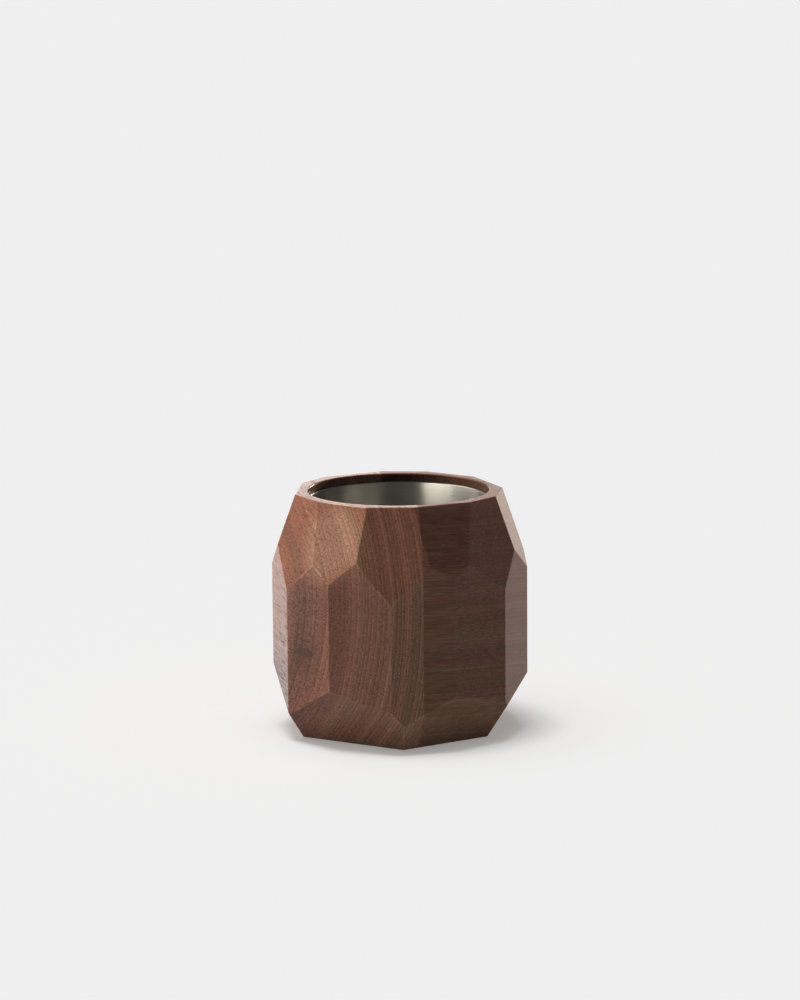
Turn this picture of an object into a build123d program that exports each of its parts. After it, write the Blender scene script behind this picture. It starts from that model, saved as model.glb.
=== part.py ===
from build123d import *
import os
from math import cos, radians, sin

# Faceted wooden pen holder: two glued half blocks, a lift-out steel cup and a cork pad.
# Millimetres and degrees. +Z is up, the glue line is the plane x = 0, and the front faces -Y.

# Drum: the upright facets round the middle
drum_width = 88.8  # usual size across opposite facets
body_height = 88.0  # wood alone, from its base to its rim

# Well bored down from the rim
drum_wall = 11.4  # wood between the well and an upright facet
well_floor = 13.5  # wood left under the well
well_mouth_chamfer = 0.4

# Facet rows
rim_wall = 4.0  # usual wood between the well and an upper facet, at the rim
base_undercut = 11.4  # usual set-back of a lower facet from the drum, at the base

# Steel cup standing in the well
cup_clearance = 0.3  # radial
cup_wall = 0.8
cup_drop = 3.0  # cup rim below the wooden rim
cup_corner = 4.0  # outer radius at the foot of the cup
cup_rim_round = 0.3

# Cork pad let into the base
pad_margin = 5.0  # from the usual base edge to the recess
pad_clearance = 0.3  # radial
pad_thickness = 2.0
pad_proud = 0.5  # how far the pad stands out below the wood

# The facets are cut one by one, so no two match. Each row gives the azimuth that a facet faces,
# round from the front towards +X, its lean from upright, and the wood left there beyond the usual.
# The drum's own facets are upright, so their rows give no lean.
drum_facets = [
    (2, 0.2),
    (29.5, -0.1),
    (57.3, 0.4),
    (91.5, 0.45),
    (120, 0.0),
    (150, 0.0),
    (180, 0.6),
    (-150, 0.0),
    (-120, 0.0),
    (-86.2, 0.0),
    (-60.2, -0.2),
    (-31.1, 0.3),
]
upper_facets = [
    (13.5, 21.0, -0.9),
    (39, 14.0, 0.6),
    (69.8, 18.5, 0.2),
    (101.6, 17.2, -1.4),
    (134, 14.5, -0.6),
    (165, 18.5, 0.4),
    (-164, 14.0, -0.4),
    (-134, 17.5, 0.3),
    (-105.5, 20.0, -0.6),
    (-71.2, 14.0, 0.2),
    (-46.4, 18.5, -0.3),
    (-12.8, 15.2, 0.3),
]
lower_facets = [
    (20.8, 31.3, 0.2),
    (69.8, 31.8, 1.2),
    (131, 31.5, 0.2),
    (-167, 28.5, 0.6),
    (-103.6, 27.5, 1.3),
    (-40.7, 31.1, -0.2),
]

# Heights and radii that follow from the sizes above
drum_reach = drum_width / 2
blank_radius = 1.12 * drum_reach  # round blank that the facets are cut from
well_radius = drum_reach - drum_wall
rim_reach = well_radius + rim_wall
base_reach = drum_reach - base_undercut
wood_base = pad_proud
wood_rim = wood_base + body_height
well_bottom = wood_base + well_floor
well_depth = body_height - well_floor
cup_radius = well_radius - cup_clearance
cup_height = well_depth - cup_drop
pad_radius = base_reach - pad_margin - pad_clearance
recess_depth = pad_thickness - pad_proud

os.makedirs("parts", exist_ok=True)


def facet_plane(azimuth, lean, reach, height):
    """Plane of one facet, facing out, that stands `reach` from the axis at `height`.

    A positive lean tips the facet to face upwards, a negative one downwards.
    """
    across = (sin(radians(azimuth)), -cos(radians(azimuth)))
    foot = (reach * across[0], reach * across[1], height)
    level = cos(radians(lean))
    facing = (level * across[0], level * across[1], sin(radians(lean)))
    return Plane(origin=foot, z_dir=facing)


# The whole wooden block, before it is parted at the glue line
with BuildPart() as block:
    with BuildSketch(Plane.XY.offset(wood_base)):
        Circle(blank_radius)
    extrude(amount=body_height)
    for azimuth, extra in drum_facets:
        cut = facet_plane(azimuth, 0, drum_reach + extra, wood_base)
        split(bisect_by=cut, keep=Keep.BOTTOM)
    for azimuth, lean, extra in upper_facets:
        cut = facet_plane(azimuth, lean, rim_reach + extra, wood_rim)
        split(bisect_by=cut, keep=Keep.BOTTOM)
    for azimuth, lean, extra in lower_facets:
        cut = facet_plane(azimuth, -lean, base_reach + extra, wood_base)
        split(bisect_by=cut, keep=Keep.BOTTOM)
    with Locations((0, 0, wood_rim)):
        Hole(radius=well_radius, depth=well_depth)
    rim_face = block.faces().filter_by(Axis.Z).sort_by(Axis.Z)[-1]
    chamfer(rim_face.edges().filter_by(GeomType.CIRCLE), well_mouth_chamfer)
    with BuildSketch(Plane.XY.offset(wood_base)):
        Circle(pad_radius + pad_clearance)
    extrude(amount=recess_depth, mode=Mode.SUBTRACT)

# Half block on the -X side of the glue line
with BuildPart() as left_half:
    add(block.part)
    split(bisect_by=Plane.YZ, keep=Keep.BOTTOM)

# Half block on the +X side of the glue line
with BuildPart() as right_half:
    add(block.part)
    split(bisect_by=Plane.YZ, keep=Keep.TOP)

# Drawn cup, standing on the floor of the well
with BuildPart() as liner_cup:
    with BuildSketch(Plane.XY.offset(well_bottom)):
        Circle(cup_radius)
    extrude(amount=cup_height)
    cup_foot = liner_cup.faces().filter_by(Axis.Z).sort_by(Axis.Z)[0]
    fillet(cup_foot.edges(), cup_corner)
    cup_mouth = liner_cup.faces().filter_by(Axis.Z).sort_by(Axis.Z)[-1]
    offset(amount=-cup_wall, openings=cup_mouth)
    cup_rim = liner_cup.faces().filter_by(Axis.Z).sort_by(Axis.Z)[-1]
    fillet(cup_rim.edges(), cup_rim_round)

# Cork disc glued up into its recess
with BuildPart() as base_pad:
    with BuildSketch(Plane.XY):
        Circle(pad_radius)
    extrude(amount=pad_thickness)

left_half.part.label = "left_half"
right_half.part.label = "right_half"
liner_cup.part.label = "liner_cup"
base_pad.part.label = "base_pad"

export_step(left_half.part, "parts/left_half.step")
export_step(right_half.part, "parts/right_half.step")
export_step(liner_cup.part, "parts/liner_cup.step")
export_step(base_pad.part, "parts/base_pad.step")
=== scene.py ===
# %% [markdown]
# # A faceted walnut pen holder
# Two blocks of walnut are glued side by side, sawn to a ring of flat facets and bored for a
# lift-out steel cup. A cork disc is let into the base. This script loads the measured model,
# models each piece again with the small edges that catch the light, gives it its finish and
# sets up a plain studio round it.

# %% Load the measured frame
from math import cos, pi, radians, sin
from types import SimpleNamespace

import bmesh
import bpy
from mathutils import Matrix, Vector


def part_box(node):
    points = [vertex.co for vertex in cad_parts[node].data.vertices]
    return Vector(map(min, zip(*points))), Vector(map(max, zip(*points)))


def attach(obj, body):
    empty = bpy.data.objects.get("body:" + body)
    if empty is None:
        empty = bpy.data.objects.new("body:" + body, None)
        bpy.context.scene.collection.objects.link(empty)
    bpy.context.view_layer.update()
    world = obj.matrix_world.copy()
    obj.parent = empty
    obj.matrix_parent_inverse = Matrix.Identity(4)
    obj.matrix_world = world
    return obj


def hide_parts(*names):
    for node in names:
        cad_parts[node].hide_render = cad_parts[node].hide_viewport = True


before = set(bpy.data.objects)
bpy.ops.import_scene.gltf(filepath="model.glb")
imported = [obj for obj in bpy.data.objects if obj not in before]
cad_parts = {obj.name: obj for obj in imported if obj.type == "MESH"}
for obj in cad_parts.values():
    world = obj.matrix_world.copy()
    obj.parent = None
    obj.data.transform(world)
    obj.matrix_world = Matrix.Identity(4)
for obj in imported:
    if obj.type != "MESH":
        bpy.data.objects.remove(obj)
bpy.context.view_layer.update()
mm = 0.001
scene = bpy.context.scene
scene.view_settings.view_transform = "Standard"

# %% [markdown]
# ## The camera
# The holder is seen a little from its left and from slightly above, with a long lens, so its
# upright edges stay nearly parallel. The picture's middle lies above the holder, so the camera
# looks over it instead of straight at it. The camera could be aimed by hand, but here it is
# worked out from where the drum's middle falls in a picture of 800 by 1000 pixels.

# %% Place the camera
camera_turn = radians(11.1)  # round to the left of the front
camera_dip = radians(10.35)  # of the lens below level
camera_roll = radians(0.48)
focal_pixels = 3500
pixels_per_metre = 2735  # at the holder's axis
drum_pixels_left = 0.8  # of the drum's middle from the picture's middle
drum_pixels_below = 107.3
picture_height_pixels = 1000
sensor_width = 36  # millimetres, along the picture's longer side

wood_low, wood_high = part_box("left_half")
drum_middle = Vector((0, 0, (wood_low.z + wood_high.z) / 2))
to_camera = Vector((-sin(camera_turn), -cos(camera_turn), 0))
camera_back = to_camera * cos(camera_dip) + Vector((0, 0, sin(camera_dip)))
level_right = Vector((cos(camera_turn), -sin(camera_turn), 0))
level_up = camera_back.cross(level_right)
camera_right = level_right * cos(camera_roll) - level_up * sin(camera_roll)
camera_up = level_right * sin(camera_roll) + level_up * cos(camera_roll)
shift = camera_back * focal_pixels + camera_up * drum_pixels_below + camera_right * drum_pixels_left
camera_place = drum_middle + shift / pixels_per_metre

bpy.ops.object.camera_add()
camera = bpy.context.object
camera.name = "camera"
camera.data.sensor_width = sensor_width
camera.data.lens = sensor_width * focal_pixels / picture_height_pixels
camera_axes = Matrix((camera_right, camera_up, camera_back)).transposed()
camera.matrix_world = Matrix.Translation(camera_place) @ camera_axes.to_4x4()
scene.camera = camera
print("camera stands", round(shift.length / pixels_per_metre, 2), "m away")

# %% [markdown]
# ## Small helpers for shader nodes
# A finish is a tree of nodes. Adding a node, filling its sockets and linking it takes three
# lines each time, so one helper does it: a socket given as a value is filled, and one given as
# another node's output is linked. The others wrap the nodes that come up most often.

# %% Node helpers


def add_node(tree, kind, sockets=None, **settings):
    """Add a shader node, set its options, then fill or link its sockets."""
    node = tree.nodes.new("ShaderNode" + kind)
    for option, value in settings.items():
        setattr(node, option, value)
    for socket, value in (sockets or {}).items():
        if isinstance(value, bpy.types.NodeSocket):
            tree.links.new(value, node.inputs[socket])
        else:
            node.inputs[socket].default_value = value
    return node


def calculate(tree, operation, *values):
    """One step of arithmetic on numbers or sockets."""
    return add_node(tree, "Math", dict(enumerate(values)), operation=operation).outputs[0]


def along(tree, vector, direction):
    """How far a vector reaches along a direction."""
    sockets = {0: vector, 1: direction}
    return add_node(tree, "VectorMath", sockets, operation="DOT_PRODUCT").outputs["Value"]


def smooth_step(tree, value, start, end, low=0.0, high=1.0):
    """A soft change from `low` where the value is `start` to `high` where it is `end`."""
    sockets = {"Value": value, 1: start, 2: end, 3: low, 4: high}
    return add_node(tree, "MapRange", sockets, interpolation_type="SMOOTHSTEP").outputs["Result"]


def ramp(tree, value, stops):
    """A colour ramp through stops, each a position and a grey level or a colour."""
    node = add_node(tree, "ValToRGB", {"Fac": value})
    elements = node.color_ramp.elements
    while len(elements) < len(stops):
        elements.new(0.5)
    for element, (position, colour) in zip(elements, stops):
        element.position = position
        element.color = (*colour, 1) if isinstance(colour, tuple) else (colour, colour, colour, 1)
    return node.outputs["Color"]


def new_material(name):
    """An empty node material with its principled shader and tree."""
    material = bpy.data.materials.new(name)
    material.use_nodes = True
    tree = material.node_tree
    return material, tree, tree.nodes["Principled BSDF"]


# %% [markdown]
# ## Floor and light
# The holder stands on a pale sweep with no visible horizon. One broad warm lamp to the left
# models the facets, a low lamp behind on the right picks out that edge, and a bright wall behind
# gives the grazing facets their pale sheen. The side of the room behind the camera stays dim, so
# the facets that face the camera keep their depth. The floor has two lamps of its own, high up: a
# small one draws the short shadow, and a wide one softens it towards its edge. The floor also
# glows a little like a light table, which lightens the shadow. Its paint looks pale to the camera,
# and on its far side in the glossy finishes too, but throws less light up at the wood. Two low
# lamps light the steel cup alone.

# %% Floor
floor_size = 60
floor_pale = (0.80, 0.80, 0.80, 1)
floor_bounce = (0.62, 0.59, 0.58, 1)
floor_glow_tint = (1, 0.98, 0.965, 1)
floor_glow = 0.13  # as the matt wood sees it
floor_look = 0.14  # what is added to that for the camera
floor_sheen = 0.15  # and what is added again in a glossy finish
far_side_start = -20 * mm  # from the holder's axis, away from the camera
far_side_end = 40 * mm

bpy.ops.object.select_all(action="DESELECT")
bpy.ops.mesh.primitive_plane_add(size=floor_size)
floor = bpy.context.object
floor.name = "floor"
floor_paint, tree, shader = new_material("floor_paint")
path = add_node(tree, "LightPath").outputs
behind = along(tree, add_node(tree, "TexCoord").outputs["Object"], -to_camera)
far_side = smooth_step(tree, behind, far_side_start, far_side_end)
mirrored = calculate(tree, "MULTIPLY", path["Is Glossy Ray"], far_side)
looked_at = calculate(tree, "MAXIMUM", path["Is Camera Ray"], mirrored)
looked_at = calculate(tree, "MAXIMUM", looked_at, path["Is Transmission Ray"])
paint = add_node(tree, "Mix", {0: looked_at, 6: floor_bounce, 7: floor_pale}, data_type="RGBA")
tree.links.new(paint.outputs[2], shader.inputs["Base Color"])
shader.inputs["Roughness"].default_value = 1
shader.inputs["Specular IOR Level"].default_value = 0
shader.inputs["Emission Color"].default_value = floor_glow_tint
glow = calculate(tree, "MULTIPLY_ADD", looked_at, floor_look, floor_glow)
glow = calculate(tree, "MULTIPLY_ADD", mirrored, floor_sheen, glow)
tree.links.new(glow, shader.inputs["Emission Strength"])
floor.data.materials.append(floor_paint)
print("floor is", floor_size, "m wide")

# %% Lamps
lamp_tint = (1, 0.95, 0.87)
rim_tint = (1, 0.77, 0.60)


def add_lamp(name, around, height, level, softness):
    """A sun lamp, `around` degrees to the right of the camera and `height` degrees up."""
    turn, rise = radians(around), radians(height)
    level_stand = level_right * sin(turn) + to_camera * cos(turn)
    stand = level_stand * cos(rise) + Vector((0, 0, sin(rise)))
    bpy.ops.object.light_add(type="SUN")
    lamp = bpy.context.object
    lamp.name = name
    lamp.rotation_mode = "QUATERNION"
    lamp.rotation_quaternion = stand.to_track_quat("Z", "Y")
    lamp.data.energy = level * pi
    lamp.data.angle = radians(softness)
    return lamp


key_lamp = add_lamp("key_lamp", around=-105, height=49, level=1.50, softness=26)
rim_lamp = add_lamp("rim_lamp", around=142, height=9, level=0.68, softness=12)
floor_lamp = add_lamp("floor_lamp", around=-66, height=83, level=0.43, softness=21)
sky_lamp = add_lamp("sky_lamp", around=-66, height=81, level=0.255, softness=62)
cup_lamp = add_lamp("cup_lamp", around=-54, height=3, level=0.66, softness=44)
cup_fill = add_lamp("cup_fill", around=-102, height=14, level=0.50, softness=60)
rim_lamp.data.color = rim_tint
for lamp in (key_lamp, cup_lamp, cup_fill):
    lamp.data.color = lamp_tint

# %% What each lamp lights
floor_alone = bpy.data.collections.new("lights_floor_alone")
cup_alone = bpy.data.collections.new("lights_cup_alone")
wood_alone = bpy.data.collections.new("lights_neither_floor_nor_cup")


def leave_unlit(lit, piece):
    """Keep a piece out of the light of the lamps that this collection belongs to."""
    lit.objects.link(piece)
    lit.collection_objects[-1].light_linking.link_state = "EXCLUDE"


floor_alone.objects.link(floor)
leave_unlit(wood_alone, floor)
for lamp, lit in (
    (key_lamp, wood_alone),
    (rim_lamp, wood_alone),
    (floor_lamp, floor_alone),
    (sky_lamp, floor_alone),
    (cup_lamp, cup_alone),
    (cup_fill, cup_alone),
):
    lamp.light_linking.receiver_collection = lit
    print(lamp.name, "uses", lit.name)

# %% Room
backdrop_level = 0.863  # linear, a light grey
wall_level = 2.1  # the wall behind the holder, as the glossy facets mirror it
wall_glow = 0.25  # what the same wall adds to the matt side of a finish
room_level = 0.075  # the rest of the room
wall_sides = (0.55, 0.9)  # where the wall starts and is full, along the way to the back
wall_heights = (0.45, 0.0)  # where it ends and is full, up from level
dim_tint = (0.84, 0.92, 1)
wall_tint = (1, 0.96, 0.91)
white = (1, 1, 1, 1)

room = bpy.data.worlds.new("room")
room.use_nodes = True
scene.world = room
tree = room.node_tree
direction = add_node(tree, "TexCoord").outputs["Generated"]
behind = along(tree, direction, -to_camera)
upward = add_node(tree, "SeparateXYZ", {0: direction}).outputs["Z"]
between_sides = smooth_step(tree, behind, *wall_sides)
low_enough = smooth_step(tree, upward, *wall_heights)
wall = calculate(tree, "MULTIPLY", between_sides, low_enough)
path = add_node(tree, "LightPath").outputs
wall_strength = add_node(
    tree, "MapRange", {"Value": path["Is Glossy Ray"], 3: wall_glow, 4: wall_level}
).outputs["Result"]
strength = calculate(tree, "MULTIPLY_ADD", wall, wall_strength, room_level)
room_tint = ramp(tree, wall, ((0.0, dim_tint), (1.0, wall_tint)))
room_light = add_node(tree, "Background", {"Color": room_tint, "Strength": strength})
backdrop = add_node(tree, "Background", {"Color": white, "Strength": backdrop_level})
seen = calculate(tree, "MAXIMUM", path["Is Camera Ray"], path["Is Transmission Ray"])
mix = add_node(tree, "MixShader", {0: seen, 1: room_light.outputs[0], 2: backdrop.outputs[0]})
tree.links.new(mix.outputs[0], tree.nodes["World Output"].inputs["Surface"])
print("room is at", room_level, "and its far wall at", wall_level)

# %% [markdown]
# ## The walnut block
# The maker glues two blocks and cuts the facets through both, so the arrises run across the
# glue line without a break. A copy of each half could be bevelled by itself, but its bevels
# would open a groove at the seam. So the halves are joined into one block first, the arrises
# are eased as with a few strokes of sandpaper, and the block is then parted again.

# %% Editing helpers


def edit_only(piece):
    """Select one piece alone and open it in edit mode with nothing picked."""
    bpy.ops.object.select_all(action="DESELECT")
    piece.select_set(True)
    bpy.context.view_layer.objects.active = piece
    bpy.ops.object.mode_set(mode="EDIT")
    bpy.ops.mesh.select_all(action="DESELECT")


def pick(piece, kind, rule):
    """In edit mode, pick the faces or edges that a rule accepts, and count them."""
    bpy.ops.mesh.select_all(action="DESELECT")
    bpy.ops.mesh.select_mode(type={"faces": "FACE", "edges": "EDGE"}[kind])
    mesh = bmesh.from_edit_mesh(piece.data)
    picked = [element for element in getattr(mesh, kind) if rule(element)]
    for element in picked:
        element.select_set(True)
    bmesh.update_edit_mesh(piece.data)
    return len(picked)


def copy_of_node(node, name):
    """A new object with its own copy of a measured node's mesh."""
    piece = bpy.data.objects.new(name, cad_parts[node].data.copy())
    piece.data.materials.clear()
    scene.collection.objects.link(piece)
    return piece


def finish_normals(piece, smooth_angle):
    """Shade curves smoothly while the large flat faces stay flat."""
    bpy.ops.object.select_all(action="DESELECT")
    piece.select_set(True)
    bpy.context.view_layer.objects.active = piece
    bpy.ops.object.shade_smooth_by_angle(angle=smooth_angle)
    bpy.ops.object.modifier_add(type="WEIGHTED_NORMAL")
    piece.modifiers[-1].keep_sharp = True
    bpy.ops.object.modifier_apply(modifier=piece.modifiers[-1].name)


# %% Join the two halves into one block
merge_distance = 0.01 * mm
flat_angle = radians(0.3)
square_on = 0.99  # how squarely a face of the joint faces sideways


def on_glue_plane(face):
    return abs(face.calc_center_median().x) < merge_distance and abs(face.normal.x) > square_on


half_copies = []
for node in ("left_half", "right_half"):
    half = copy_of_node(node, "walnut_" + node)
    edit_only(half)
    bpy.ops.mesh.select_all(action="SELECT")
    bpy.ops.mesh.remove_doubles(threshold=merge_distance)
    pick(half, "faces", on_glue_plane)
    bpy.ops.mesh.delete(type="FACE")
    bpy.ops.object.mode_set(mode="OBJECT")
    half_copies.append(half)

bpy.ops.object.select_all(action="DESELECT")
for half in half_copies:
    half.select_set(True)
block = half_copies[0]
bpy.context.view_layer.objects.active = block
bpy.ops.object.join()
edit_only(block)
bpy.ops.mesh.select_all(action="SELECT")
bpy.ops.mesh.remove_doubles(threshold=merge_distance)
bpy.ops.mesh.dissolve_limited(angle_limit=flat_angle)
open_edges = pick(block, "edges", lambda edge: not edge.is_manifold)
bpy.ops.object.mode_set(mode="OBJECT")
print("one block of", len(block.data.polygons), "faces,", open_edges, "open edges")

# %% Tell the arrises from the other edges
arris_angle = radians(8)
sharp_angle = radians(20)
cup_clearance = 0.3 * mm
mouth_margin = 1.5 * mm  # beyond the cup, past the mouth of the well
rim_depth = 1 * mm
recess_outside = 30 * mm  # from the axis, past the recess for the pad
cup_low, cup_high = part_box("liner_cup")
cup_radius = cup_high.x
well_radius = cup_radius + cup_clearance
outside = cup_radius + mouth_margin


def middle_radius(edge):
    middle = (edge.verts[0].co + edge.verts[1].co) / 2
    return middle.xy.length


def is_arris(edge):
    turned = edge.is_manifold and edge.calc_face_angle() > arris_angle
    return turned and middle_radius(edge) > outside


def is_base_edge(edge):
    on_base = all(vert.co.z < wood_low.z + merge_distance for vert in edge.verts)
    return on_base and edge.calc_face_angle() > sharp_angle and middle_radius(edge) > recess_outside


def is_outer_arris(edge):
    return is_arris(edge) or is_base_edge(edge)


def is_mouth_edge(edge):
    near_rim = min(vert.co.z for vert in edge.verts) > wood_high.z - rim_depth
    turned = edge.is_manifold and edge.calc_face_angle() > sharp_angle
    return near_rim and turned and middle_radius(edge) < outside


print("the mouth of the well lies within", round(outside / mm, 1), "mm of the axis")

# %% Ease the arrises
arris_ease = 0.30 * mm
mouth_ease = 0.14 * mm
ease_segments = 3
strip_area = 30 * mm * mm  # an eased strip is smaller than this


def ease(width):
    """In edit mode, round the picked edges."""
    bpy.ops.mesh.bevel(
        offset=width, segments=ease_segments, profile=0.5, affect="EDGES", clamp_overlap=True
    )


def mark_strips(piece, mark, largest):
    """In edit mode, write 1 in a face attribute on the picked faces that are smaller than this."""
    mesh = bmesh.from_edit_mesh(piece.data)
    layer = mesh.faces.layers.float.new(mark)
    for face in mesh.faces:
        face[layer] = float(face.select and face.calc_area() < largest)
    bmesh.update_edit_mesh(piece.data)


edit_only(block)
eased = pick(block, "edges", is_outer_arris)
ease(arris_ease)
# the eased strips, which the walnut finish makes paler as painted highlight and wear
mark_strips(block, "lit_and_worn", largest=strip_area)
rounded = pick(block, "edges", is_mouth_edge)
ease(mouth_ease)
bpy.ops.object.mode_set(mode="OBJECT")
print(eased, "arrises eased and", rounded, "edges rounded at the mouth of the well")

# %% Part the block at the glue line
wood_smooth_angle = radians(35)

bpy.ops.object.select_all(action="DESELECT")
block.select_set(True)
bpy.context.view_layer.objects.active = block
bpy.ops.object.duplicate()
other_block = bpy.context.object
other_block.name = "walnut_right_half"


def keep_side(piece, side):
    """Cut a piece at the glue plane, keep the side that faces `side` and close the cut."""
    edit_only(piece)
    bpy.ops.mesh.select_all(action="SELECT")
    bpy.ops.mesh.bisect(plane_co=(0, 0, 0), plane_no=(-side, 0, 0), use_fill=True, clear_outer=True)
    bpy.ops.object.mode_set(mode="OBJECT")
    finish_normals(piece, wood_smooth_angle)
    print(piece.name, "has", len(piece.data.polygons), "faces")


keep_side(block, -1)
keep_side(other_block, 1)

# %% [markdown]
# ## Walnut
# A tree grows in rings round its pith, and its fibres and pores run along the trunk. So the
# finish is worked out in the log's own space: a Mapping node lays the log through the block,
# rings come from the distance to the pith, and fibres and pores are noise that is stretched
# along the trunk. Cut across, the pores are dots, and cut along, they are dashes, without any
# picture being wrapped round the block. The two halves come from different logs: the left one
# lies from front to back, and the right one from side to side.

# %% Texture helpers


def vector_step(tree, operation, *values):
    """One step of arithmetic on vectors or sockets."""
    return add_node(tree, "VectorMath", dict(enumerate(values)), operation=operation).outputs[0]


def length(tree, vector):
    return add_node(tree, "VectorMath", {0: vector}, operation="LENGTH").outputs["Value"]


def blotches(tree, place, size, detail=2.0, seed=0.0):
    """Noise in blotches about `size` across, in the units of `place`."""
    sockets = {"Vector": place, "W": seed, "Scale": 1 / size, "Detail": detail}
    return add_node(tree, "TexNoise", sockets, noise_dimensions="4D").outputs


def bands(tree, distance, size, seed=0.0):
    """Noise along one distance, in bands about `size` wide."""
    sockets = {"W": calculate(tree, "ADD", distance, seed), "Scale": 1 / size, "Detail": 1.0}
    return add_node(tree, "TexNoise", sockets, noise_dimensions="1D").outputs["Fac"]


def round_zero(tree, noise):
    """Noise that lies round a half, brought down to lie round zero."""
    return calculate(tree, "SUBTRACT", noise, 0.5)


# %% Lay the log
log_sway = 4  # millimetres from side to side
sway_length = 80
log_ripple = 0.35
ripple_length = 4.0


def lay_log(tree, place, pith, lie, seed):
    """Millimetres in the log, two axes across it and one along it, with its sway and ripple."""
    sockets = {"Vector": place, "Location": pith, "Rotation": lie, "Scale": (mm, mm, mm)}
    log = add_node(tree, "Mapping", sockets, vector_type="TEXTURE").outputs["Vector"]
    sway = blotches(tree, log, sway_length, 1.0, seed)["Color"]
    widest, middle = (log_sway, log_sway, 0), (-log_sway / 2, -log_sway / 2, 0)
    log = vector_step(tree, "ADD", log, vector_step(tree, "MULTIPLY_ADD", sway, widest, middle))
    ripple = blotches(tree, log, ripple_length, 3.0, seed)["Color"]
    return vector_step(tree, "MULTIPLY_ADD", ripple, (log_ripple, log_ripple, 0), log)


# %% Year rings
season_tones = ((0.0, 0.40), (0.10, 0.85), (0.30, 0.55), (0.72, 0.48), (0.92, 0.12), (1.0, 0.40))
uneven_length = 8.0  # millimetres over which the years run wide or narrow
uneven_years = 4.0
faintest = 0.3  # what the faintest year keeps of its lines


def year_lines(tree, distance, ring_width):
    """A thin pale and a thin dark line each year, fainter in some years, round zero."""
    uneven = calculate(tree, "MULTIPLY", bands(tree, distance, uneven_length), uneven_years)
    year = calculate(tree, "MULTIPLY_ADD", distance, 1 / ring_width, uneven)
    line = ramp(tree, calculate(tree, "FRACT", year), season_tones)
    number = calculate(tree, "FLOOR", year)
    weather = add_node(tree, "TexWhiteNoise", {"W": number}, noise_dimensions="1D").outputs["Value"]
    strength = calculate(tree, "MULTIPLY_ADD", weather, 1 - faintest, faintest)
    return calculate(tree, "MULTIPLY", round_zero(tree, line), strength)


# %% Fibres and pores
fibre_draw = (1, 1, 0.035)  # drawn out along the trunk
fibre_width = 0.7
pore_cells = (2.1, 2.1, 0.12)  # in a millimetre, two ways across the trunk and along it
pore_sizes = (0.05, 0.42)  # from the smallest to the largest, in cells
pore_edge = 0.08
filled_share = (0.78, 0.86)  # cells past this are filled and pale


def fibres(tree, log):
    """Fine streaks along the trunk, round zero."""
    drawn = vector_step(tree, "MULTIPLY", log, fibre_draw)
    return round_zero(tree, blotches(tree, drawn, fibre_width, 1.0)["Fac"])


def pores(tree, log):
    """Long cells, dots where the trunk is cut across: open dark ones, and filled pale ones."""
    cells = vector_step(tree, "MULTIPLY", log, pore_cells)
    cell = add_node(tree, "TexVoronoi", {"Vector": cells, "Scale": 1.0}).outputs
    chance = add_node(tree, "SeparateColor", {0: cell["Color"]}).outputs
    smallest, largest = pore_sizes
    size = add_node(tree, "MapRange", {"Value": chance["Red"], 3: smallest, 4: largest})
    inside = calculate(tree, "SUBTRACT", cell["Distance"], size.outputs["Result"])
    pore = smooth_step(tree, inside, pore_edge, -pore_edge)
    filled = smooth_step(tree, chance["Green"], *filled_share)
    fleck = calculate(tree, "MULTIPLY", pore, filled)
    return calculate(tree, "SUBTRACT", pore, fleck), fleck


# %% Read the grain
heart_lines = 0.4  # what the year lines keep in the heartwood


def read_grain(tree, place, pith, lie, ring_width, heart_reach, seed):
    """The log's own pattern at each place: its year lines, fibres, pores and flecks."""
    log = lay_log(tree, place, pith, lie, seed)
    distance = length(tree, vector_step(tree, "MULTIPLY", log, (1, 1, 0)))
    clearness = smooth_step(tree, distance, *heart_reach, heart_lines, 1.0)
    line = calculate(tree, "MULTIPLY", year_lines(tree, distance, ring_width), clearness)
    fibre = fibres(tree, log)
    pore, fleck = pores(tree, log)
    return SimpleNamespace(
        log=log, distance=distance, line=line, fibre=fibre, pore=pore, fleck=fleck
    )


# %% [markdown]
# ## Tone, colour and oil
# Walnut is darker in its heart and round a knot. Low down, its dark band is darker still, which
# is painted shade on the lower facets, the wall of the well is darkened as painted shade, and the
# arrises are paler, a painted highlight with some wear. A picture could hold all that, but it
# would not follow the grain through the block. So each effect adds to one number, the tone. A
# ramp turns the tone into brown, and a second ramp makes some bands redder and others more olive.
# A paler patch on one upper facet is a painted sheen. The oil is a thin clear coat over satin
# wood, and the open pores break it.

# %% Light and dark of the grain
fibre_depth = 0.46
broad_depth = 0.20
broad_width = 6.0
broad_seed = 40.0
cloud_depth = 0.05
cloud_size = 22.0
fleck_depth = 0.20


def grain_tone(tree, grain, line_depth, pore_depth, seed):
    """How light the wood is, round a half, from all that the grain shows."""
    broad = round_zero(tree, bands(tree, grain.distance, broad_width, broad_seed))
    cloud = round_zero(tree, blotches(tree, grain.log, cloud_size, 2.0, seed)["Fac"])
    tone = 0.5
    for pattern, depth in (
        (grain.line, line_depth),
        (grain.fibre, fibre_depth),
        (broad, broad_depth),
        (cloud, cloud_depth),
        (grain.pore, -pore_depth),
        (grain.fleck, fleck_depth),
    ):
        tone = calculate(tree, "MULTIPLY_ADD", pattern, depth, tone)
    return tone


# %% Dark heartwood, darker still low down as painted shade
band_and_shade_depth = 0.35
band_width = 5  # millimetres
band_edge = 3
band_rest = 0.2  # how dark it is nearer the pith than the band
low_heights = (66 * mm, 54 * mm)
high_up = 0.4  # how strong the band is above those heights


def lowness(tree, place):
    """1 low down on the block, and less high up."""
    height = add_node(tree, "SeparateXYZ", {0: place}).outputs["Z"]
    return smooth_step(tree, height, *low_heights, high_up, 1.0)


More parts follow.
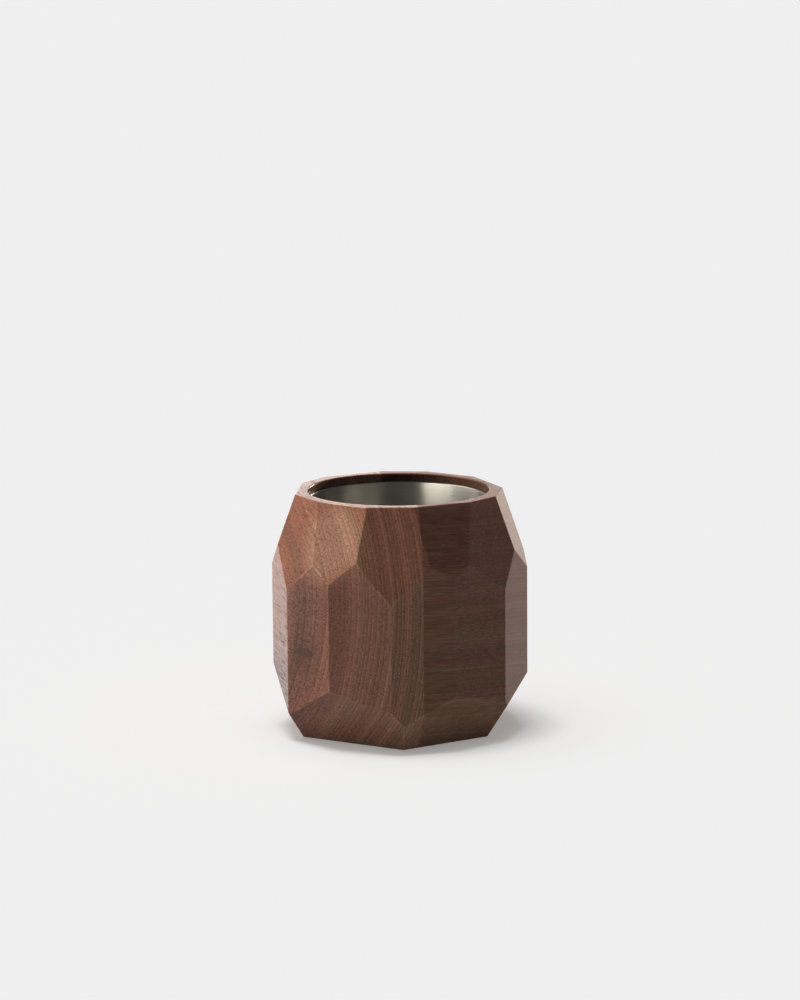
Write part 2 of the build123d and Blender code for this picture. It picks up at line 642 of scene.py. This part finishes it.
def dark_band_and_low_shade(tree, distance, low_down, heart_reach):
    """One band of the heartwood is darker, and low down it is darker still, as painted shade on the
    lower facets.
    """
    dark_and_shaded = calculate(tree, "MULTIPLY", low_down, smooth_step(tree, distance, *heart_reach, 1.0, 0.0))
    start = heart_reach[0] - band_width
    inner = smooth_step(tree, distance, start - band_edge, start + band_edge, band_rest, 1.0)
    return calculate(tree, "MULTIPLY", dark_and_shaded, inner)


# %% A knot
knot_depth = 0.26
knot_shade = 0.09  # of the wood round it
knot_rough = 2 * mm  # how far its edge wanders
knot_blotch = 2.5 * mm
knot_edge = (1.3, 0.4)  # from its outside in, as parts of its half width
shaded_reach = (11 * mm, 2 * mm)


def knot(tree, place, middle, half_width, half_height):
    """Where a branch came through: dark in its middle, and the wood round it shaded."""
    offset = vector_step(tree, "SUBTRACT", place, middle)
    wander = blotches(tree, place, knot_blotch, 2.0)["Color"]
    offset = vector_step(tree, "MULTIPLY_ADD", wander, (knot_rough,) * 3, offset)
    offset = vector_step(tree, "SUBTRACT", offset, (knot_rough / 2,) * 3)
    across = vector_step(tree, "DIVIDE", offset, (1, half_width, half_height))
    heart = smooth_step(tree, length(tree, across), *knot_edge)
    shaded = smooth_step(tree, length(tree, offset), *shaded_reach)
    return heart, shaded


# %% Painted shade in the well, and a painted highlight with wear on the arrises
well_shade_depth = 0.25
well_shade_start = 0.3 * mm  # beyond the wall of the well
well_shade_full = 0.1 * mm
highlight_and_wear_patch = 6 * mm
highlight_and_wear_share = (0.40, 0.65)
least_highlight_and_wear = 0.1


def painted_well_shade(tree, place):
    """Painted shade: the wall of the well is made darker."""
    from_axis = length(tree, vector_step(tree, "MULTIPLY", place, (1, 1, 0)))
    start, full = well_radius + well_shade_start, well_radius + well_shade_full
    return smooth_step(tree, from_axis, start, full, 0.0, -well_shade_depth)


def lit_and_worn_arrises(tree, tone, place, highlight_and_wear):
    """Arrises are paler here and there: a painted highlight along the eased edges, with some wear.
    """
    lit_and_worn = add_node(tree, "Attribute", attribute_name="lit_and_worn").outputs["Fac"]
    patches = blotches(tree, place, highlight_and_wear_patch, 2.0)["Fac"]
    patchy = smooth_step(tree, patches, *highlight_and_wear_share, least_highlight_and_wear * highlight_and_wear, highlight_and_wear)
    return calculate(tree, "MULTIPLY_ADD", lit_and_worn, patchy, tone)


# %% Colour of the wood
hue_depth = 1.6
hue_width = 4.5  # millimetres
hue_seed = 90.0
hue_span = (0.25, 0.75)
dark_redness = 0.3
no_sheen_tint = (0.556, 0.556, 0.556)
sheen_tint = (0.70, 0.88, 0.94)
sheen_lift = (1.8, 1.8, 1.8)  # brings the tint without sheen to about 1, so it changes nothing
sheen_heart = 0.4  # of the patch's reach


def wood_colour(tree, tone, distance, low_down, dark_and_shaded, tones, tints, tint_reach):
    """The wood's own colour, redder in some bands and more olive in others."""
    red_to_olive = smooth_step(tree, distance, *tint_reach, *hue_span)
    red_to_olive = calculate(tree, "MULTIPLY", red_to_olive, low_down)
    hue = round_zero(tree, bands(tree, distance, hue_width, hue_seed))
    hue = calculate(tree, "MULTIPLY_ADD", hue, hue_depth, red_to_olive)
    hue = calculate(tree, "MULTIPLY_ADD", dark_and_shaded, -dark_redness, hue)
    return vector_step(tree, "MULTIPLY", ramp(tree, tone, tones), ramp(tree, hue, tints))


# Painted sheen on one upper facet, as a paler, less red patch in the colour.
def painted_sheen_patch(tree, colour, place, middle, reach):
    """Painted sheen: the colour made paler and less red round one place."""
    from_middle = length(tree, vector_step(tree, "SUBTRACT", place, middle))
    near = smooth_step(tree, from_middle, reach, sheen_heart * reach)
    sheen = ramp(tree, near, ((0.0, no_sheen_tint), (1.0, sheen_tint)))
    return vector_step(tree, "MULTIPLY", colour, vector_step(tree, "MULTIPLY", sheen, sheen_lift))


# %% Oil
satin = 0.46  # roughness of the wood, before its fibres and pores
fibre_rough = 0.3
pore_rough = 0.2
film_weight = 0.85  # of the oil's film, before the grain
film_pore = 0.5
film_line = 1.1
film_fibre = 1.3
relief_fibre = 0.5
relief_strength = 0.5
relief_height = 0.04 * mm


def oil(tree, shader, grain, film_index):
    """Oiled and rubbed down: satin wood under a thin film that the open pores break."""
    rough = calculate(tree, "MULTIPLY_ADD", grain.fibre, fibre_rough, satin)
    rough = calculate(tree, "MULTIPLY_ADD", grain.pore, pore_rough, rough)
    tree.links.new(rough, shader.inputs["Roughness"])
    film = calculate(tree, "MULTIPLY_ADD", grain.pore, -film_pore, film_weight)
    film = calculate(tree, "MULTIPLY_ADD", grain.line, film_line, film)
    film = calculate(tree, "MULTIPLY_ADD", grain.fibre, film_fibre, film)
    tree.links.new(film, shader.inputs["Coat Weight"])
    dents = calculate(tree, "MULTIPLY", grain.pore, -1.0)
    relief = calculate(tree, "MULTIPLY_ADD", grain.fibre, relief_fibre, dents)
    sockets = {"Height": relief, "Strength": relief_strength, "Distance": relief_height}
    bump = add_node(tree, "Bump", sockets)
    tree.links.new(bump.outputs["Normal"], shader.inputs["Normal"])
    shader.inputs["IOR"].default_value = 1.22
    shader.inputs["Specular IOR Level"].default_value = 0.25
    shader.inputs["Specular Tint"].default_value = (1.0, 0.72, 0.55, 1)
    shader.inputs["Coat IOR"].default_value = film_index
    shader.inputs["Coat Roughness"].default_value = 0.18


# %% Walnut finish
def walnut(name, pith, lie, ring_width, line_depth, pore_depth, highlight_and_wear, tones, tints, tint_reach,
           heart_reach, film_index, seed, branch=None, sheen_spot=None):
    """Solid walnut whose log lies through `pith` (metres), turned by `lie` from upright."""
    material, tree, shader = new_material(name)
    place = add_node(tree, "TexCoord").outputs["Object"]
    grain = read_grain(tree, place, pith, lie, ring_width, heart_reach, seed)
    tone = grain_tone(tree, grain, line_depth, pore_depth, seed)
    low_down = lowness(tree, place)
    # the dark band of heartwood, with painted shade on the lower facets
    dark_and_shaded = dark_band_and_low_shade(tree, grain.distance, low_down, heart_reach)
    tone = calculate(tree, "MULTIPLY_ADD", dark_and_shaded, -band_and_shade_depth, tone)
    if branch:
        heart, shaded = knot(tree, place, *branch)
        tone = calculate(tree, "MULTIPLY_ADD", shaded, -knot_shade, tone)
        tone = calculate(tree, "MULTIPLY_ADD", heart, -knot_depth, tone)
    # painted shade on the wall of the well
    tone = calculate(tree, "ADD", tone, painted_well_shade(tree, place))
    # painted highlight and some wear on the arrises
    tone = lit_and_worn_arrises(tree, tone, place, highlight_and_wear)
    colour = wood_colour(tree, tone, grain.distance, low_down, dark_and_shaded, tones, tints, tint_reach)
    if sheen_spot:
        colour = painted_sheen_patch(tree, colour, place, *sheen_spot)
    tree.links.new(colour, shader.inputs["Base Color"])
    oil(tree, shader, grain, film_index)
    print(name, "has", len(tree.nodes), "nodes")
    return material


# %% Walnut of the left half
left_walnut = walnut(
    "walnut_left",
    pith=(-190.5 * mm, 0, 57 * mm),
    lie=(radians(-88), 0, radians(3)),
    ring_width=1.35,
    line_depth=0.68,
    pore_depth=0.30,
    highlight_and_wear=0.24,
    tones=((0.0, (0.085, 0.040, 0.028)), (0.5, (0.325, 0.156, 0.104)), (1.0, (0.64, 0.365, 0.250))),
    tints=((0.0, (1.08, 0.945, 0.91)), (1.0, (0.62, 0.68, 0.57))),
    tint_reach=(150, 190),
    heart_reach=(152, 167),
    film_index=1.35,
    seed=3.0,
    branch=((-38.6 * mm, -21.6 * mm, 34.2 * mm), 3.6 * mm, 1.6 * mm),
    # painted sheen on the upper facet on the left
    sheen_spot=((-29.8 * mm, -28.4 * mm, 75 * mm), 18 * mm),
)

# %% Walnut of the right half
right_walnut = walnut(
    "walnut_right",
    pith=(0, -62 * mm, -125 * mm),
    lie=(0, radians(90), radians(6)),
    ring_width=1.25,
    line_depth=0.34,
    pore_depth=0.15,
    highlight_and_wear=0.06,
    tones=((0.0, (0.047, 0.026, 0.018)), (0.5, (0.181, 0.099, 0.068)), (1.0, (0.37, 0.220, 0.158))),
    tints=((0.0, (1.08, 0.94, 1.00)), (1.0, (0.92, 1.02, 0.88))),
    tint_reach=(220, 120),
    heart_reach=(0, 1),
    film_index=1.07,
    seed=8.0,
)
block.data.materials.append(left_walnut)
other_block.data.materials.append(right_walnut)
for piece, node, slot in (
    (block, "left_half", "walnut_left"),
    (other_block, "right_half", "walnut_right"),
):
    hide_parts(node)
    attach(piece, "block")
print("walnut on", block.name, "and", other_block.name)

# %% [markdown]
# ## The steel cup
# The cup is drawn from thin sheet, with a round at its foot and a softened lip. A primitive
# cylinder would have neither, so half of its section is drawn as a line of points and spun
# round the axis, as on a lathe.

# %% Draw the cup's section
cup_wall = 0.8 * mm
cup_corner = 4 * mm
lip_round = cup_wall / 2
cup_arc_steps = 8


def arc(centre, radius, start, end, steps):
    """Points on a round stretch of a section, as (distance from the axis, height)."""
    turns = [radians(start + (end - start) * step / steps) for step in range(steps + 1)]
    return [(centre[0] + radius * cos(turn), centre[1] + radius * sin(turn)) for turn in turns]


corner_middle = (cup_radius - cup_corner, cup_low.z + cup_corner)
lip_middle = (cup_radius - lip_round, cup_high.z - lip_round)
section = [(0, cup_low.z)]
section += arc(corner_middle, cup_corner, -90, 0, cup_arc_steps)
section += arc(lip_middle, lip_round, 0, 180, cup_arc_steps)
section += arc(corner_middle, cup_corner - cup_wall, 0, -90, cup_arc_steps)
section += [(0, cup_low.z + cup_wall)]
print("the cup's section has", len(section), "points")

# %% Spin the cup
cup_spin_steps = 160
spin_merge = 0.002 * mm
spun_smooth_angle = radians(40)


def spin_piece(name, points, steps):
    """Draw a section beside the axis and spin it into a closed piece."""
    bpy.ops.object.select_all(action="DESELECT")
    bpy.ops.mesh.primitive_plane_add(size=1)
    piece = bpy.context.object
    piece.name = name
    bpy.ops.object.mode_set(mode="EDIT")
    bpy.ops.mesh.select_mode(type="VERT")
    bpy.ops.mesh.merge(type="CENTER")
    bpy.ops.transform.translate(value=(points[0][0], 0, points[0][1]))
    for before, after in zip(points, points[1:]):
        step = (after[0] - before[0], 0, after[1] - before[1])
        bpy.ops.mesh.extrude_region_move(TRANSFORM_OT_translate={"value": step})
    bpy.ops.mesh.select_all(action="SELECT")
    bpy.ops.mesh.spin(steps=steps, angle=2 * pi, center=(0, 0, 0), axis=(0, 0, 1))
    bpy.ops.mesh.select_all(action="SELECT")
    bpy.ops.mesh.remove_doubles(threshold=spin_merge)
    bpy.ops.mesh.normals_make_consistent(inside=False)
    bpy.ops.object.mode_set(mode="OBJECT")
    bpy.ops.object.shade_smooth_by_angle(angle=spun_smooth_angle)
    print(piece.name, "has", len(piece.data.polygons), "faces")
    return piece


cup = spin_piece("steel_cup", section, cup_spin_steps)

# %% [markdown]
# ## Satin steel
# The inside is finished by a pad that turns with the cup, so it is covered in fine rings. They
# spread a highlight up and down the wall. Fine noise squeezed along the height gives the rings,
# and an anisotropic shader gives the spread.

# %% Satin steel finish
ring_squeeze = (60, 60, 9000)  # patches in a metre: close together up the wall, long round it
ring_range = (0.3, 0.7)
ring_rough = (0.24, 0.36)
handled_scale = 90.0
handled_rough = 0.08
steel_dark = (0.50, 0.48, 0.43)
steel_pale = (0.66, 0.64, 0.59)

steel, tree, shader = new_material("satin_steel")
place = add_node(tree, "TexCoord").outputs["Object"]
ringed = vector_step(tree, "MULTIPLY", place, ring_squeeze)
sockets = {"Vector": ringed, "Scale": 1.0, "Detail": 3.0, "Roughness": 0.6}
rings = add_node(tree, "TexNoise", sockets).outputs["Fac"]
sockets = {"Vector": place, "Scale": handled_scale, "Detail": 3.0}
handled = add_node(tree, "TexNoise", sockets).outputs["Fac"]
sockets = {"Value": rings, 1: ring_range[0], 2: ring_range[1], 3: ring_rough[0], 4: ring_rough[1]}
shine = add_node(tree, "MapRange", sockets).outputs["Result"]
shine = calculate(tree, "MULTIPLY_ADD", handled, handled_rough, shine)
tree.links.new(shine, shader.inputs["Roughness"])
metal = ramp(tree, rings, ((ring_range[0], steel_dark), (ring_range[1], steel_pale)))
tree.links.new(metal, shader.inputs["Base Color"])
bump = add_node(tree, "Bump", {"Height": rings, "Strength": 0.15, "Distance": 0.01 * mm})
tree.links.new(bump.outputs["Normal"], shader.inputs["Normal"])
round_axis = add_node(tree, "Tangent", direction_type="RADIAL", axis="Z")
tree.links.new(round_axis.outputs["Tangent"], shader.inputs["Tangent"])
shader.inputs["Metallic"].default_value = 1
shader.inputs["Anisotropic"].default_value = 0.8
shader.inputs["Anisotropic Rotation"].default_value = 0.25
cup.data.materials.append(steel)
cup_alone.objects.link(cup)
leave_unlit(wood_alone, cup)
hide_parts("liner_cup")
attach(cup, "cup")
print("steel on", cup.name)

# %% [markdown]
# ## The cork pad
# A disc of pressed cork sits in a recess under the block and stands out by half a millimetre.
# It is stamped from sheet, so its edges are slightly broken. It could be a plain cylinder, but
# then its edge would be too sharp, so it is spun like the cup.

# %% Spin the pad
pad_low, pad_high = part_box("base_pad")
pad_radius = pad_high.x
pad_edge = 0.25 * mm
pad_arc_steps = 4
pad_spin_steps = 96
pad_section = [(0, pad_low.z)]
pad_section += arc((pad_radius - pad_edge, pad_low.z + pad_edge), pad_edge, -90, 0, pad_arc_steps)
pad_section += arc((pad_radius - pad_edge, pad_high.z - pad_edge), pad_edge, 0, 90, pad_arc_steps)
pad_section += [(0, pad_high.z)]
pad = spin_piece("cork_pad", pad_section, pad_spin_steps)

# %% Cork finish
crumb_scale = 620.0  # crumbs in a metre
grain_scale = 900.0
grain_depth = 0.4
cork_dark = (0.16, 0.075, 0.032)
cork_pale = (0.52, 0.32, 0.16)

cork, tree, shader = new_material("cork")
place = add_node(tree, "TexCoord").outputs["Object"]
crumbs = add_node(tree, "TexVoronoi", {"Vector": place, "Scale": crumb_scale})
sockets = {"Vector": place, "Scale": grain_scale, "Detail": 4.0}
grain = add_node(tree, "TexNoise", sockets).outputs["Fac"]
crumb_tone = calculate(tree, "MULTIPLY_ADD", grain, grain_depth, crumbs.outputs["Color"])
centred_tone = calculate(tree, "SUBTRACT", crumb_tone, grain_depth / 2)
cork_colour = ramp(tree, centred_tone, ((0.0, cork_dark), (1.0, cork_pale)))
tree.links.new(cork_colour, shader.inputs["Base Color"])
bump = add_node(tree, "Bump", {"Height": crumb_tone, "Strength": 0.6, "Distance": 0.15 * mm})
tree.links.new(bump.outputs["Normal"], shader.inputs["Normal"])
shader.inputs["Roughness"].default_value = 0.85
pad.data.materials.append(cork)
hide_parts("base_pad")
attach(pad, "block")
print("cork on", pad.name)
